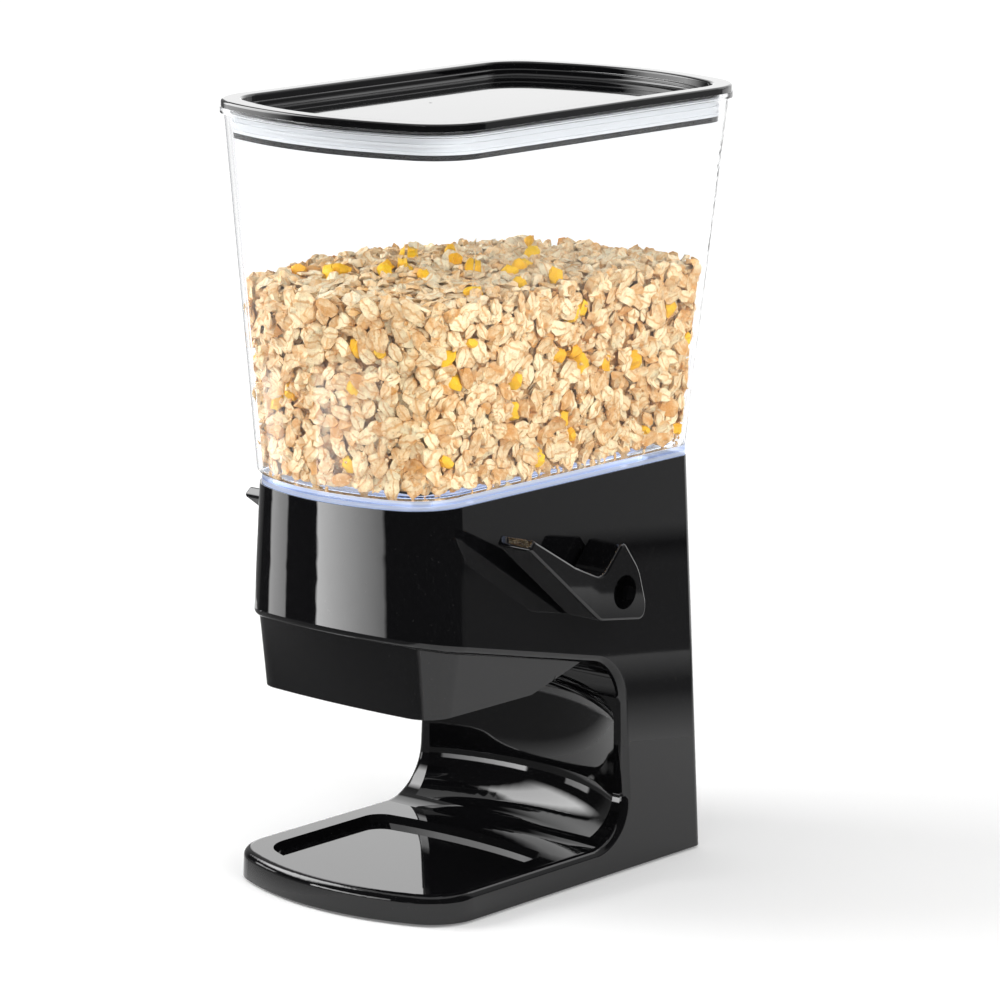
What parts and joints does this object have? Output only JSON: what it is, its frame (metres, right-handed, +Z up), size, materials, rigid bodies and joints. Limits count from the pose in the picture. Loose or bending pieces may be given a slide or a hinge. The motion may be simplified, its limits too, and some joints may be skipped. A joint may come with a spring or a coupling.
{
  "type": "countertop cereal dispenser",
  "caption": "Tall countertop dispenser with a clear flared hopper, recessed lid, side press levers, a spout hood and an open bowl space over a tray.",
  "frame": {"origin": "middle of the outline, on the counter", "axes": "+X right as seen from the serving side, +Y towards the back, +Z up; the bowl space opens towards -Y"},
  "size_m": [0.1894, 0.253, 0.39],
  "materials": {
    "gloss_black": "polished",
    "satin_black": "satin",
    "clear": "clear",
    "soft_black": "matt",
    "soft_frost": "satin",
    "ivory": "satin",
    "steel": "bright",
    "zinc": "plated"
  },
  "bodies": {
    "stand": {"body_shell": "gloss_black", "back_cover": "satin_black", "back_cover_screws": "zinc", "base_plate": "satin_black", "base_screws": "zinc", "foot_front_left": "soft_black", "foot_front_right": "soft_black", "foot_back_left": "soft_black", "foot_back_right": "soft_black", "spout_hood": "gloss_black", "hood_screws": "zinc", "funnel": "satin_black", "funnel_screws": "zinc", "shaft_bush_left": "ivory", "shaft_bush_right": "ivory", "return_spring_left": "steel", "return_spring_right": "steel"},
    "flap_unit": {"flap": "satin_black", "flap_pad": "soft_black", "flap_screws": "zinc", "drive_shaft": "steel", "shaft_clip_left": "steel", "shaft_clip_right": "steel", "lever_left": "gloss_black", "lever_right": "gloss_black", "lever_screw_left": "zinc", "lever_screw_right": "zinc"},
    "hopper_unit": {"hopper": "clear", "hopper_seal": "soft_black"},
    "lid_unit": {"lid": "gloss_black", "lid_seal": "soft_frost"}
  },
  "joints": [
    {"name": "flap_pivot", "type": "hinge", "parent": "stand", "child": "flap_unit", "pos_m": [0, 0.0084, 0.1502], "axis": [1, 0, 0], "range_deg": [0, 32], "stiffness_Nm_per_rad": 0.15, "springref_deg": -57.3, "deforming": ["return_spring_left", "return_spring_right"]},
    {"name": "hopper_lift", "type": "slide", "parent": "stand", "child": "hopper_unit", "axis": [0, 0, 1], "range_m": [0, 0.06]},
    {"name": "lid_lift", "type": "slide", "parent": "hopper_unit", "child": "lid_unit", "axis": [0, 0, 1], "range_m": [0, 0.05]}
  ]
}
